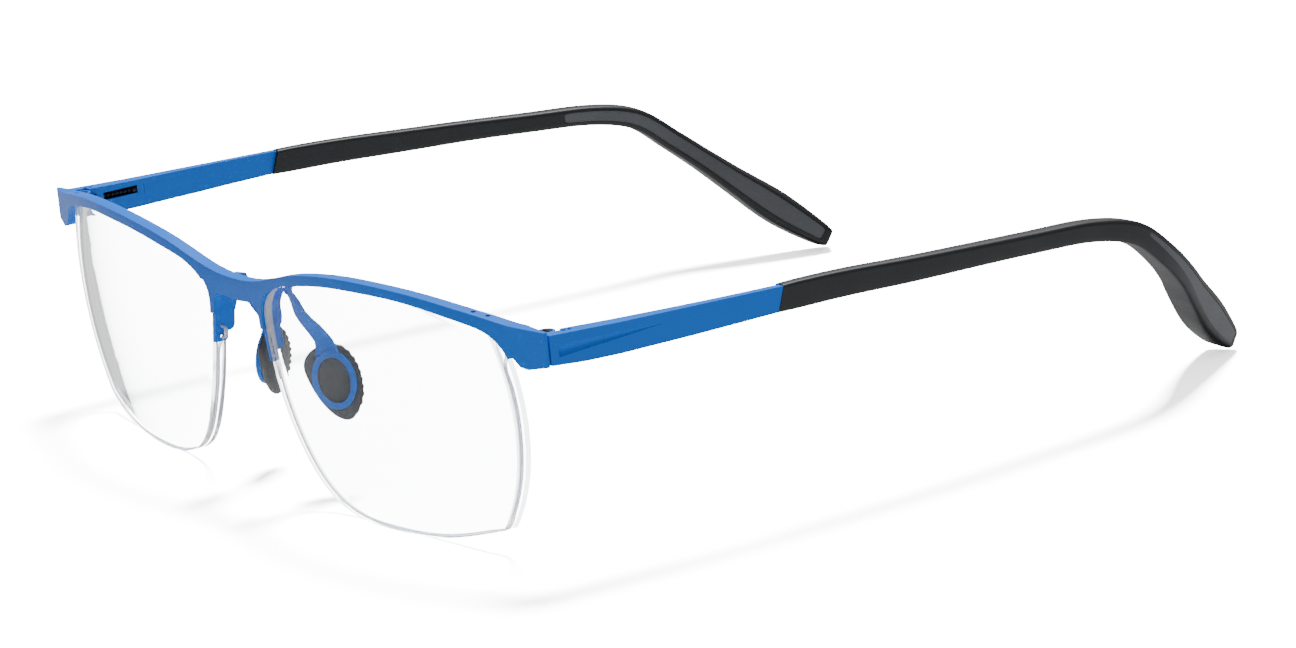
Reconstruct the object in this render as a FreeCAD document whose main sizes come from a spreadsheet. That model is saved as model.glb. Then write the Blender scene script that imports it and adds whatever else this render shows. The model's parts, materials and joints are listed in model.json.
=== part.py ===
"""Half rim eyeglasses: metal brow bar, nylon-held lenses and sprung temples, in millimetres.

Working frame: X towards the wearer's left, Y backwards along the temples, Z up.  The glasses stand open
on the lens bottoms and the temple tips.  Every piece is drawn about the middle of the bridge and then
moved forwards by half the overall depth, so that the origin lies under the middle of the whole object.
"""
import FreeCAD, Part
import Sketcher
import math
import os

Vector = FreeCAD.Vector
doc = FreeCAD.newDocument("half_rim_eyeglasses")

# ---------------------------------------------------------------- driving dimensions
DIMENSIONS = [
    ("front_to_middle", 65.0),
    ("half_width", 70.2),
    ("bar_depth", 1.9),
    ("web_recess", 0.25),
    ("leg_front", -0.25),
    ("leg_depth", 3.05),
    ("lug_depth", 2.0),
    ("end_face", 7.8),
    ("lens_thickness", 2.2),
    ("base_radius", 108.6),
    ("lens_centre_across", 23.51),
    ("lens_centre_back", 107.2),
    ("lens_centre_up", 24.1),
    ("groove_start", 0.8),
    ("groove_width", 0.6),
    ("groove_deep", 0.45),
    ("cord_size", 0.5),
    ("tongue_start", 0.65),
    ("tongue_thick", 0.9),
    ("tongue_tall", 0.4),
    ("liner_thick", 0.25),
    ("fit_gap", 0.02),
    ("pivot_across", 66.6),
    ("pivot_back", 9.7),
    ("hinge_middle", 29.3),
    ("knuckle_radius", 1.3),
    ("knuckle_gap", 0.1),
    ("eye_tall", 1.4),
    ("outer_knuckle_tall", 0.95),
    ("screw_radius", 0.55),
    ("screw_clearance", 0.05),
    ("screw_head_radius", 0.9),
    ("screw_head_tall", 0.45),
    ("screw_rise", 3.05),
    ("rod_radius", 0.35),
    ("rod_across", 68.75),
    ("spring_radius", 0.5),
    ("spring_wire", 0.12),
    ("core_radius", 0.45),
    ("inlay_deep", 0.5),
]
sheet = doc.addObject("Spreadsheet::Sheet", "Dimensions")
for row, (alias, value) in enumerate(DIMENSIONS, start=1):
    sheet.set("A%d" % row, alias)
    sheet.set("B%d" % row, str(value))
    sheet.setAlias("B%d" % row, alias)
doc.recompute()


def size(alias):
    return float(sheet.get(alias))


HALF_DEPTH = size("front_to_middle")
FORWARD = FreeCAD.Placement(Vector(0, -HALF_DEPTH, 0), FreeCAD.Rotation())
SIDES = (("left", 1), ("right", -1))
nodes = []


# ---------------------------------------------------------------- small helpers
def curve(points, start=None, end=None):
    """A smooth edge through the given points, with optional end directions."""
    spline = Part.BSplineCurve()
    vectors = [Vector(*p) for p in points]
    if start is None:
        spline.interpolate(vectors)
    else:
        spline.interpolate(Points=vectors, InitialTangent=Vector(*start), FinalTangent=Vector(*end))
    return spline.toShape()


def closed_curve(points):
    spline = Part.BSplineCurve()
    spline.interpolate([Vector(*p) for p in points], PeriodicFlag=True)
    return Part.Wire([spline.toShape()])


def line(a, b):
    return Part.LineSegment(Vector(*a), Vector(*b)).toShape()


def polygon(points):
    return Part.Face(Part.makePolygon([Vector(*p) for p in points] + [Vector(*points[0])]))


def box(low, high):
    a, b = Vector(*low), Vector(*high)
    d = b - a
    return Part.makeBox(d.x, d.y, d.z, a)


def cylinder(base, radius, tall, direction=(0, 0, 1)):
    return Part.makeCylinder(radius, tall, Vector(*base), Vector(*direction))


def mirrored(shape):
    return shape.mirror(Vector(0, 0, 0), Vector(1, 0, 0))


def sided(shape, side):
    return shape if side > 0 else mirrored(shape)


def add_feature(label, shape):
    """A sub-part that is neither a sketch-built body nor a plain primitive."""
    feature = doc.addObject("Part::Feature", label)
    feature.Label = label
    feature.Shape = shape
    feature.Placement = FORWARD.multiply(shape.Placement)
    nodes.append(feature)
    return feature


def rounded_wire(centre, across, up, wide, tall, radius):
    """A rounded rectangle, wide along 'across' and tall along 'up', both unit vectors."""
    half_w, half_t = wide / 2, tall / 2
    r = min(radius, half_w * 0.98, half_t * 0.98)
    edges = []
    corners = [(1, 1), (-1, 1), (-1, -1), (1, -1)]
    k = r * (1 - math.sqrt(0.5))

    def at(a, b):
        return centre + across * a + up * b

    for i, (sx, sy) in enumerate(corners):
        nx, ny = corners[(i + 1) % 4]
        if sx * sy > 0:
            first, last = at(sx * half_w, sy * (half_t - r)), at(sx * (half_w - r), sy * half_t)
        else:
            first, last = at(sx * (half_w - r), sy * half_t), at(sx * half_w, sy * (half_t - r))
        middle = at(sx * (half_w - k), sy * (half_t - k))
        edges.append(Part.Arc(first, middle, last).toShape())
        if sx * sy > 0:
            following = at(nx * (half_w - r), ny * half_t)
        else:
            following = at(nx * half_w, ny * (half_t - r))
        edges.append(Part.LineSegment(last, following).toShape())
    return Part.Wire(edges)


# ---------------------------------------------------------------- lens outline and curved shells
LENS_OUTLINE = [
    (34.3, 0.0), (45.0, 0.6), (54.0, 2.5), (59.6, 4.8), (62.1, 8.6), (63.8, 14.6), (64.5, 21.5),
    (63.7, 27.3), (61.6, 29.9), (56.0, 31.75), (45.5, 33.25), (36.0, 33.5), (26.3, 33.0),
    (17.5, 31.7), (11.2, 30.0), (8.0, 27.3), (8.1, 22.9), (9.7, 16.4), (12.8, 9.5),
    (18.3, 3.1), (26.0, 0.35),
]
DEEP = 60.0


def outline_points(offset):
    """The outline's points, each moved outwards square to the curve."""
    base = Part.BSplineCurve()
    points = [Vector(x, -DEEP / 2, z) for x, z in LENS_OUTLINE]
    base.interpolate(points, PeriodicFlag=True)
    moved = []
    for point in points:
        along = base.tangent(base.parameter(point))[0]
        outward = Vector(along.z, 0, -along.x)
        moved.append(point + outward * offset)
    return [(p.x, p.y, p.z) for p in moved]


def outline_block(offset):
    """The lens outline grown by offset and run right through from front to back."""
    wire = closed_curve(outline_points(offset))
    return Part.Face(wire).extrude(Vector(0, DEEP, 0))


def ball(depth_behind_front):
    centre = Vector(size("lens_centre_across"), size("lens_centre_back"), size("lens_centre_up"))
    return Part.makeSphere(size("base_radius") - depth_behind_front, centre)


def shell(front, back):
    """What lies between two depths behind the lens's front surface."""
    return ball(front).cut(ball(back))


UPPER_NOSE, UPPER_OUTER = 22.6, 28.3
split_line = [(-5, UPPER_NOSE), (10, UPPER_NOSE), (60, UPPER_OUTER), (80, UPPER_OUTER), (80, 60), (-5, 60)]
upper_region = polygon([(x, -DEEP / 2, z) for x, z in split_line]).extrude(Vector(0, DEEP, 0))


def build_lens():
    plain = outline_block(0).common(shell(0, size("lens_thickness")))
    tongue_back = size("tongue_start") + size("tongue_thick")
    tongue = outline_block(size("tongue_tall")).cut(outline_block(-0.3))
    tongue = tongue.common(upper_region).common(shell(size("tongue_start"), tongue_back))
    groove = outline_block(0.5).cut(outline_block(-size("groove_deep"))).cut(upper_region)
    groove_back = size("groove_start") + size("groove_width")
    groove = groove.common(shell(size("groove_start"), groove_back))
    return plain.fuse(tongue).cut(groove)


# ---------------------------------------------------------------- front frame
TOP_EDGE = [
    (0.0, 30.2), (5.0, 30.45), (10.0, 31.35), (15.9, 32.8), (23.2, 34.05), (31.0, 34.75), (39.0, 34.85),
    (46.5, 34.5), (54.0, 33.65), (62.0, 32.45), (70.2, 31.75),
]
FRONT_PLAN = [
    (0.0, -0.75), (7.0, -0.85), (14.0, -1.15), (22.0, -1.4), (30.0, -1.2), (38.0, -0.45), (46.0, 0.9),
    (54.0, 2.75), (62.0, 5.0), (70.2, 7.35),
]


def front_band(front_shift, back_shift):
    """Half of the frame's plan: the front curve moved back by two amounts, and run up and down."""
    front = curve([(x, y + front_shift, -5) for x, y in FRONT_PLAN], (1, 0, 0), (1, 0.29, 0))
    back = curve([(x, y + back_shift, -5) for x, y in FRONT_PLAN], (1, 0, 0), (1, 0.29, 0))
    x_end = FRONT_PLAN[-1][0]
    y_end = FRONT_PLAN[-1][1]
    inner = line((0, FRONT_PLAN[0][1] + front_shift, -5), (0, FRONT_PLAN[0][1] + back_shift, -5))
    outer = line((x_end, y_end + front_shift, -5), (x_end, y_end + back_shift, -5))
    return Part.Face(Part.Wire([front, outer, back, inner])).extrude(Vector(0, 0, 50))


def half_frame():
    far = -DEEP / 2
    half_width = size("half_width")
    top = curve([(x, far, z) for x, z in TOP_EDGE], (1, 0, 0), (1, 0, -0.05))
    slant = [(70.2, 27.15), (66.9, 26.55), (65.6, 26.8), (64.4, 27.9), (58.0, 26.0), (20.0, 26.0),
             (14.0, 29.6), (9.0, 28.75), (0.0, 28.5)]
    down = [(half_width, 31.75)] + slant + [(0.0, 30.2)]
    lower = [line((a[0], far, a[1]), (b[0], far, b[1])) for a, b in zip(down[:-1], down[1:])]
    bar_face = Part.Face(Part.Wire([top] + lower))
    bar = bar_face.extrude(Vector(0, DEEP, 0))
    bar = bar.common(front_band(0, size("bar_depth")))
    bar = bar.cut(outline_block(size("fit_gap")))
    bar = bar.common(box((0, -DEEP / 2, 0), (half_width, size("end_face"), 60)))

    web_points = [(0.0, 29.6), (9.6, 29.9), (8.6, 24.0), (6.8, 24.0), (6.6, 25.6), (6.1, 26.55),
                  (5.1, 27.1), (3.6, 27.25), (0.0, 26.95)]
    web = polygon([(x, far, z) for x, z in web_points]).extrude(Vector(0, DEEP, 0))
    web = web.common(front_band(size("web_recess"), size("bar_depth") - 0.5))
    web = web.cut(outline_block(size("fit_gap")))

    leg_points = [(5.4, 29.6), (9.6, 29.9), (12.0, 24.0), (12.0, 19.6), (7.95, 19.6), (7.15, 23.0),
                  (6.8, 24.7), (6.65, 25.9), (6.2, 26.8), (5.6, 27.6)]
    leg = polygon([(x, far, z) for x, z in leg_points]).extrude(Vector(0, DEEP, 0))
    leg_front = size("leg_front")
    back = leg_front + size("leg_depth")
    lug_back = leg_front + size("lug_depth")
    profile = [(0, leg_front, 19.6), (0, lug_back - 0.3, 19.6), (0, lug_back, 19.9), (0, lug_back, 21.0),
               (0, back - 0.7, 21.0), (0, back - 0.2, 21.2), (0, back, 21.8), (0, back, 27.6),
               (0, 0.9, 29.6), (0, leg_front, 29.6)]
    side = polygon(profile).extrude(Vector(15, 0, 0))
    leg = leg.common(side).cut(outline_block(size("fit_gap")))
    half = bar.fuse(web).fuse(leg)

    rim_groove = outline_block(size("tongue_tall") + size("liner_thick") + size("fit_gap"))
    rim_groove = rim_groove.cut(outline_block(-0.5)).common(upper_region)
    slack = 0.03
    groove_back = size("tongue_start") + size("tongue_thick") + slack
    half = half.cut(rim_groove.common(shell(size("tongue_start") - slack, groove_back)))
    for height in LUG_HOLES:
        half = half.cut(cylinder((5.0, CORD_LINE_NOSE, height), CORD_HOLE, 6.0, (1, 0, 0)))
    for across in BAR_HOLES:
        half = half.cut(cylinder((across, bar_hole_back(across), 31.0), CORD_HOLE, 5.0))
    return half


# ---------------------------------------------------------------- nylon cord
LUG_HOLES = (20.3, 21.8)
BAR_HOLES = (57.3, 59.6)
CORD_HOLE = 0.34
CORD_LINE_NOSE = 0.85


def lens_front(x, z):
    """Depth (Y) of the lens's front surface at a place in front view."""
    dx = x - size("lens_centre_across")
    dz = z - size("lens_centre_up")
    return size("lens_centre_back") - math.sqrt(size("base_radius") ** 2 - dx * dx - dz * dz)


def bar_hole_back(across):
    return lens_front(across, 31.0) + 0.45


def build_cord():
    cord = size("cord_size")
    middle = size("groove_start") + size("groove_width") / 2
    band = outline_block(-size("fit_gap")).cut(outline_block(-size("fit_gap") - cord + 0.1))
    band = band.cut(upper_region).common(shell(middle - cord / 2, middle + cord / 2))
    return band


def build_liner():
    tall = size("tongue_tall")
    strip = outline_block(tall + size("liner_thick")).cut(outline_block(tall + size("fit_gap")))
    back = size("tongue_start") + size("tongue_thick")
    return strip.common(upper_region).common(shell(size("tongue_start"), back))



# ---------------------------------------------------------------- lofts along a bent path
def blend_values(first, second, share):
    if isinstance(first, tuple):
        return tuple(blend_values(a, b, share) for a, b in zip(first, second))
    return first + (second - first) * share


def spread(stations, steps):
    """More stations along a smooth path: (centre, tangent, blended sizes) at steps per span."""
    spline = Part.BSplineCurve()
    spline.interpolate([Vector(*station[0]) for station in stations])
    knots = spline.getKnots()
    result = []
    last = len(stations) - 1
    for index in range(last * steps + 1):
        span = min(index // steps, last - 1)
        share = index / steps - span
        place = knots[span] + (knots[span + 1] - knots[span]) * share
        sizes = blend_values(stations[span][1:], stations[span + 1][1:], share)
        result.append((spline.value(place), spline.tangent(place)[0], sizes))
    return result


def band_loft(stations, steps=3):
    """A loft through rounded sections.

    Each station is (centre, wide axis, wide, thick, corner radius); the section stands square to the path.
    """
    wires = []
    for centre, along, (axis, wide, thick, radius) in spread(stations, steps):
        wide_axis = Vector(*axis)
        wide_axis = (wide_axis - along * wide_axis.dot(along)).normalize()
        thick_axis = along.cross(wide_axis)
        wires.append(rounded_wire(centre, wide_axis, thick_axis, wide, thick, radius))
    return Part.makeLoft(wires, True, True)


def tube(points, radius, bend):
    """A round rod along straight runs joined by tangent arcs; bend is the arc's share of the shorter run."""
    path = [Vector(*p) for p in points]
    edges = []
    start = path[0]
    for before, corner, after in zip(path[:-2], path[1:-1], path[2:]):
        into = (corner - before).normalize()
        out = (after - corner).normalize()
        reach = bend * min(before.distanceToPoint(corner), corner.distanceToPoint(after))
        half_turn = into.getAngle(out) / 2
        arc_radius = reach / math.tan(half_turn)
        first = corner - into * reach
        last = corner + out * reach
        inward = (out - into).normalize()
        middle = corner + inward * (arc_radius / math.cos(half_turn) - arc_radius)
        edges.append(Part.LineSegment(start, first).toShape())
        edges.append(Part.Arc(first, middle, last).toShape())
        start = last
    edges.append(Part.LineSegment(start, path[-1]).toShape())
    spine = Part.Wire(edges)
    normal = (path[1] - path[0]).normalize()
    ring = Part.Wire([Part.Circle(path[0], normal, radius).toShape()])
    solid = spine.makePipeShell([ring], True, False)
    expected = math.pi * radius ** 2 * spine.Length
    if abs(solid.Volume - expected) > 0.02 * expected:
        raise RuntimeError("the rod's volume is %.3f, not %.3f" % (solid.Volume, expected))
    return solid


# ---------------------------------------------------------------- temple, sleeve, core wire and inlays
# Middle of the sleeve's section, its height and its thickness, from the joint to the tip.
SLEEVE = [
    ((69.40, 43.3, 28.65), 3.80, 1.95),
    ((68.85, 53.7, 28.45), 3.65, 2.25),
    ((68.30, 65.3, 27.85), 3.40, 2.5),
    ((67.40, 76.6, 27.35), 3.10, 2.75),
    ((66.20, 87.1, 26.75), 2.95, 2.95),
    ((65.20, 96.9, 26.10), 3.00, 3.2),
    ((64.55, 104.6, 24.20), 3.30, 3.6),
    ((63.40, 110.0, 20.00), 3.40, 4.1),
    ((61.10, 114.3, 16.05), 3.55, 4.6),
    ((58.40, 117.8, 12.50), 3.90, 5.0),
    ((55.10, 122.3, 8.10), 4.50, 5.2),
    ((51.10, 127.9, 2.95), 4.90, 5.1),
    ((49.50, 130.1, 1.60), 3.30, 3.9),
]
JOINT_SLANT = Vector(0, 1, -0.33).normalize()
INLAY_START = 6
INLAY_MARGIN = 3


def sleeve_axes(along):
    """Height axis and outward axis of a section of the sleeve that runs along the given direction."""
    outward = Vector(along.y, -along.x, 0).normalize()
    return outward.cross(along), outward


def sleeve_stations(first=0, steps=3):
    result = spread(SLEEVE[first:], steps)
    if first == 0:
        result[0] = (result[0][0], JOINT_SLANT, result[0][2])
    return result


def sleeve_loft():
    wires = []
    for centre, along, (tall, thick) in sleeve_stations():
        height, outward = sleeve_axes(along)
        wires.append(rounded_wire(centre, outward, height, thick, tall, 0.3 * thick))
    return Part.makeLoft(wires, True, True)


def inlay_loft(sign):
    """The wedge of one inlay, growing from the bend's crest to the tip, sunk into one face."""
    wires = []
    deep = size("inlay_deep")
    stations = sleeve_stations(INLAY_START)[:-INLAY_MARGIN]
    for index, (centre, along, (tall, thick)) in enumerate(stations):
        share = index / (len(stations) - 1)
        height, outward = sleeve_axes(along)
        high = 0.7 + (tall * 0.66 - 0.7) * min(1.0, share * 1.25)
        lift = (tall - high) / 2 - 0.62
        middle = centre + outward * (sign * (thick / 2 - deep / 2 + 0.03)) + height * lift
        wires.append(rounded_wire(middle, outward, height, deep, high, deep * 0.2))
    return Part.makeLoft(wires, True, True)


def core_path():
    return [station[0] for station in SLEEVE[1:-1]]


TANG = ((69.05, 43.35, 27.9), (69.75, 54.0, 29.2))


def build_core():
    tang = box((TANG[0][0], TANG[0][1], TANG[0][2]), (TANG[1][0], TANG[1][1], TANG[1][2]))
    rod = tube(core_path(), size("core_radius"), 0.45)
    return tang.fuse(rod)


def build_sleeve():
    gap = size("fit_gap")
    low = [value - gap for value in TANG[0]]
    high = [value + gap for value in TANG[1]]
    low[1] -= 3.0
    body = sleeve_loft().cut(box(low, high))
    body = body.cut(tube(core_path(), size("core_radius") + gap, 0.45))
    for sign in (1, -1):
        body = body.cut(inlay_loft(sign))
    return body


TEMPLE_SIDE = [
    (8.1, 31.25), (18.5, 30.85), (30.0, 30.6), (43.84, 30.3), (42.74, 26.95), (30.0, 26.75), (18.5, 26.7),
    (13.0, 26.85), (8.1, 27.25),
]
TEMPLE_PLAN = [
    (68.2, 8.1), (70.1, 8.1), (70.2, 8.4), (70.3, 20.0), (70.35, 45.0), (68.95, 45.0), (68.8, 34.0),
    (68.3, 25.0), (67.75, 18.0), (67.4, 11.3), (68.2, 11.25),
]
# The scoop in the outer face is a cone's side: its middle line's two ends and its two radii.
SCOOP_START, SCOOP_START_RADIUS = Vector(70.93, 9.3, 29.0), 1.1
SCOOP_END, SCOOP_END_RADIUS = Vector(70.36, 24.6, 29.35), 0.1


def build_temple():
    side = polygon([(60, y, z) for y, z in TEMPLE_SIDE]).extrude(Vector(15, 0, 0))
    plan = polygon([(x, y, 20) for x, y in TEMPLE_PLAN]).extrude(Vector(0, 0, 20))
    temple = side.common(plan)
    middle = size("hinge_middle")
    pocket = box((66.0, 9.7, middle - 0.85), (69.65, 12.4, middle + 0.85))
    chamber = box((67.95, 13.4, middle - 0.8), (69.55, 20.6, middle + 0.8))
    window = box((66.0, 13.6, middle - 0.4), (68.5, 19.4, middle + 0.75))
    rod_hole = cylinder((size("rod_across"), 12.0, middle), size("rod_radius") + 0.05, 2.0, (0, 1, 0))
    reach = SCOOP_END - SCOOP_START
    scoop = Part.makeCone(SCOOP_START_RADIUS, SCOOP_END_RADIUS, reach.Length, SCOOP_START, reach)
    near_slot = box((68.3, 10.9, middle), (68.9, 11.5, 32.0))
    far_slot = box((68.3, 11.8, middle), (68.9, 12.35, 32.0))
    for hollow in (pocket, chamber, window, rod_hole, scoop, near_slot, far_slot):
        temple = temple.cut(hollow)
    return temple


# ---------------------------------------------------------------- spring hinge
def pivot(z):
    return (size("pivot_across"), size("pivot_back"), z)


def build_hinge_front():
    middle = size("hinge_middle")
    eye = size("eye_tall") / 2 + size("knuckle_gap")
    tall = size("outer_knuckle_tall")
    x, y = size("pivot_across"), size("pivot_back")
    radius = size("knuckle_radius")
    face = size("end_face")
    plate = box((63.9, face, middle - eye - tall), (67.7, face + 0.4, middle + eye + tall))
    parts = []
    for low in (middle - eye - tall, middle + eye):
        knuckle = cylinder(pivot(low), radius, tall)
        arm = box((x - radius, face + 0.2, low), (x + radius - 0.2, y, low + tall))
        parts += [knuckle, arm]
    leaf = plate.multiFuse(parts)
    bore = cylinder(pivot(middle - 5), size("screw_radius") + size("fit_gap"), 10)
    sink_floor = middle + eye + tall - size("screw_head_tall")
    sink = cylinder(pivot(sink_floor), size("screw_head_radius") + size("fit_gap"), 2)
    return leaf.cut(bore).cut(sink)


def build_slider():
    middle = size("hinge_middle")
    x, y = size("pivot_across"), size("pivot_back")
    low = middle - size("eye_tall") / 2
    high = middle + size("eye_tall") / 2
    eye = cylinder(pivot(low), size("knuckle_radius"), size("eye_tall"))
    neck = box((x, y, low), (x + 1.35, 12.3, high))
    block = box((x + 1.0, 11.0, low), (69.5, 12.3, high))
    rod = cylinder((size("rod_across"), 12.2, middle), size("rod_radius"), 7.4, (0, 1, 0))
    stop = cylinder((size("rod_across"), 18.7, middle), 0.68, 0.9, (0, 1, 0))
    slider = eye.multiFuse([neck, block, rod, stop])
    bore = cylinder(pivot(low - 1), size("screw_radius") + size("screw_clearance"), 5)
    return slider.cut(bore)


def build_spring():
    length = 5.2 - 2 * size("spring_wire") - 0.04
    turns = 7
    helix = Part.makeHelix(length / turns, length, size("spring_radius"))
    start = Vector(size("spring_radius"), 0, 0)
    ring = Part.Wire([Part.Circle(start, Vector(0, 1, 0.2), size("spring_wire")).toShape()])
    coil = Part.Wire(helix.Edges).makePipeShell([ring], True, True)
    coil.rotate(Vector(0, 0, 0), Vector(1, 0, 0), -90)
    coil.translate(Vector(size("rod_across"), 13.42 + size("spring_wire"), size("hinge_middle")))
    return coil


# ---------------------------------------------------------------- nose pads and their arms
PAD_CENTRE = Vector(9.4, 8.75, 15.3)
PAD_DOWN = Vector(0.233, 0.068, -0.970).normalize()
PAD_BACK = Vector(0.45, 0.89, 0.17).normalize()
PAD_OUT = PAD_DOWN.cross(PAD_BACK).normalize()
PAD_OUTLINE = [
    (0.4, -5.0), (2.6, -3.9), (3.7, -1.3), (3.7, 1.6), (2.9, 4.2), (1.0, 5.9), (-0.7, 5.3), (-2.2, 3.0),
    (-3.1, 0.0), (-3.3, -2.8), (-2.0, -4.5),
]
RING_OUTER = (2.9, 4.1)
RING_INNER = (2.1, 3.2)
RING_THICK = 0.8
PAD_THICK = 1.9


def pad_point(back, down, out):
    return PAD_CENTRE + PAD_BACK * back + PAD_DOWN * down + PAD_OUT * out


def pad_oval(radii, out, tall):
    """An oval disc in the pad's own plane."""
    ellipse = Part.Ellipse(Vector(0, 0, 0), radii[1], radii[0])
    face = Part.Face(Part.Wire([ellipse.toShape()]))
    disc = face.extrude(Vector(0, 0, tall))
    matrix = FreeCAD.Matrix(
        PAD_DOWN.x, PAD_BACK.x, PAD_OUT.x, 0, PAD_DOWN.y, PAD_BACK.y, PAD_OUT.y, 0,
        PAD_DOWN.z, PAD_BACK.z, PAD_OUT.z, 0, 0, 0, 0, 1)
    disc = disc.transformShape(matrix, True)
    disc.translate(pad_point(0.1, 0.1, out))
    return disc


def build_pad():
    points = [pad_point(back, down, -3.0) for back, down in PAD_OUTLINE]
    wire = closed_curve([(p.x, p.y, p.z) for p in points])
    block = Part.Face(wire).extrude(PAD_OUT * 3.0)
    crown = Part.makeSphere(14.0, pad_point(0, 0.4, 14.0 - PAD_THICK))
    pad = block.common(crown)
    return pad.fuse(pad_oval((RING_INNER[0] - 0.02, RING_INNER[1] - 0.02), -0.3, RING_THICK + 0.45))


def build_pad_arm():
    ring = pad_oval(RING_OUTER, 0.02, RING_THICK).cut(pad_oval(RING_INNER, -0.5, RING_THICK + 1.0))
    ring_top = pad_point(0.1, -3.6, RING_THICK / 2)
    neck = pad_point(0.0, -6.0, RING_THICK / 2 - 0.1)
    stations = [
        ((7.45, 2.5, 24.0), (1, -0.3, 0), 1.2, 0.8, 0.3),
        ((7.35, 3.0, 26.0), (1, -0.4, 0), 1.3, 0.8, 0.3),
        ((7.0, 3.4, 27.8), (0.8, -0.6, 0), 1.6, 0.75, 0.3),
        ((7.1, 4.2, 28.6), (0.8, -0.6, 0), 1.8, 0.75, 0.3),
        ((7.6, 5.0, 27.6), (1, -0.2, 0.1), 1.7, 0.75, 0.3),
        ((8.2, 5.6, 25.2), (0.9, 0.4, 0.1), 1.7, 0.75, 0.3),
        ((neck.x, neck.y, neck.z), tuple(PAD_BACK), 2.1, 0.8, 0.3),
        ((ring_top.x, ring_top.y, ring_top.z), tuple(PAD_BACK), 3.2, 0.8, 0.3),
    ]
    arm = band_loft(stations)
    return arm.fuse(ring).cut(pad_oval(RING_INNER, -0.5, RING_THICK + 1.0))


# ---------------------------------------------------------------- the hinge screw, a turned sketch body
def add_screw(label, side):
    body = doc.addObject("PartDesign::Body", label)
    body.Label = label
    plane = [item for item in body.Origin.OriginFeatures if item.Role == "XZ_Plane"][0]
    sketch = body.newObject("Sketcher::SketchObject", label + "_profile")
    sketch.AttachmentSupport = [(plane, "")]
    sketch.MapMode = "FlatFace"
    shank, head = size("screw_radius"), size("screw_head_radius")
    rise, thick = size("screw_rise"), size("screw_head_tall")
    corners = [(0, 0), (shank, 0), (shank, rise), (head, rise), (head, rise + thick), (0, rise + thick)]
    for a, b in zip(corners, corners[1:] + corners[:1]):
        sketch.addGeometry(Part.LineSegment(Vector(a[0], a[1], 0), Vector(b[0], b[1], 0)), False)
    count = len(corners)
    for index in range(count):
        sketch.addConstraint(Sketcher.Constraint("Coincident", index, 2, (index + 1) % count, 1))
    for index in range(count):
        kind = "Horizontal" if index % 2 == 0 else "Vertical"
        sketch.addConstraint(Sketcher.Constraint(kind, index))
    sketch.addConstraint(Sketcher.Constraint("Coincident", 0, 1, -1, 1))
    named = [
        ("shank", "DistanceX", 0, shank, "Dimensions.screw_radius"),
        ("rise", "DistanceY", 1, rise, "Dimensions.screw_rise"),
        ("head_thickness", "DistanceY", 3, thick, "Dimensions.screw_head_tall"),
    ]
    for name, kind, edge, value, source in named:
        number = sketch.addConstraint(Sketcher.Constraint(kind, edge, 1, edge, 2, value))
        sketch.renameConstraint(number, name)
        sketch.setExpression("Constraints." + name, source)
    number = sketch.addConstraint(Sketcher.Constraint("DistanceX", 4, 2, 4, 1, head))
    sketch.renameConstraint(number, "head_radius")
    sketch.setExpression("Constraints.head_radius", "Dimensions.screw_head_radius")
    doc.recompute()
    turned = body.newObject("PartDesign::Revolution", label + "_turned")
    turned.Profile = sketch
    turned.ReferenceAxis = (sketch, ["V_Axis"])
    turned.Angle = 360
    doc.recompute()
    slot_sketch = body.newObject("Sketcher::SketchObject", label + "_slot")
    slot_sketch.AttachmentSupport = [([i for i in body.Origin.OriginFeatures if i.Role == "XY_Plane"][0], "")]
    slot_sketch.MapMode = "FlatFace"
    slot_sketch.AttachmentOffset = FreeCAD.Placement(Vector(0, 0, rise + thick), FreeCAD.Rotation())
    wide, long = 0.13, head + 0.2
    marks = [(-long, -wide), (long, -wide), (long, wide), (-long, wide)]
    for a, b in zip(marks, marks[1:] + marks[:1]):
        slot_sketch.addGeometry(Part.LineSegment(Vector(a[0], a[1], 0), Vector(b[0], b[1], 0)), False)
    doc.recompute()
    before = turned.Shape.Volume
    slot = body.newObject("PartDesign::Pocket", label + "_driver_slot")
    slot.Profile = slot_sketch
    slot.Length = 0.25
    doc.recompute()
    if slot.Shape.Volume > before - 0.01:
        raise RuntimeError("the driver slot removed nothing from " + label)
    middle = size("hinge_middle")
    eye = size("eye_tall") / 2 + size("knuckle_gap")
    top = middle + eye + size("outer_knuckle_tall")
    start = Vector(side * size("pivot_across"), size("pivot_back") - HALF_DEPTH, top - rise - thick)
    body.Placement = FreeCAD.Placement(start, FreeCAD.Rotation())
    nodes.append(body)


# ---------------------------------------------------------------- the assembly
half = half_frame()
front = half.fuse(mirrored(half)).removeSplitter()
add_feature("front_frame", front)

PIECES = [
    ("lens", build_lens),
    ("nylon_cord", build_cord),
    ("rim_liner", build_liner),
    ("pad_arm", build_pad_arm),
    ("nose_pad", build_pad),
    ("hinge_front", build_hinge_front),
    ("hinge_slider", build_slider),
    ("hinge_spring", build_spring),
    ("temple_arm", build_temple),
    ("temple_core", build_core),
    ("temple_sleeve", build_sleeve),
    ("tip_inlay_outer", lambda: inlay_loft(1)),
    ("tip_inlay_inner", lambda: inlay_loft(-1)),
]
for name, build in PIECES:
    left_shape = build()
    for side_name, side in SIDES:
        add_feature("%s_%s" % (name, side_name), sided(left_shape, side))
for side_name, side in SIDES:
    add_screw("hinge_screw_" + side_name, side)

doc.recompute()
for item in doc.Objects:
    if "Invalid" in item.State or "Error" in item.State:
        raise RuntimeError(item.Label + " did not recompute")
os.makedirs("parts", exist_ok=True)
for node in nodes:
    shape = node.Shape
    if shape.isNull() or not shape.isValid() or not shape.Solids:
        raise RuntimeError(node.Label + " has no valid solid")
    shape.exportStep("parts/%s.step" % node.Label)
    bounds = shape.BoundBox
    print("%-24s %d solid(s) %9.3f mm3  y %.2f..%.2f z %.2f..%.2f" % (
        node.Label, len(shape.Solids), shape.Volume, bounds.YMin, bounds.YMax, bounds.ZMin, bounds.ZMax))
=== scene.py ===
import json
import math

import bmesh
import bpy
from mathutils import Matrix, Vector

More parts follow.
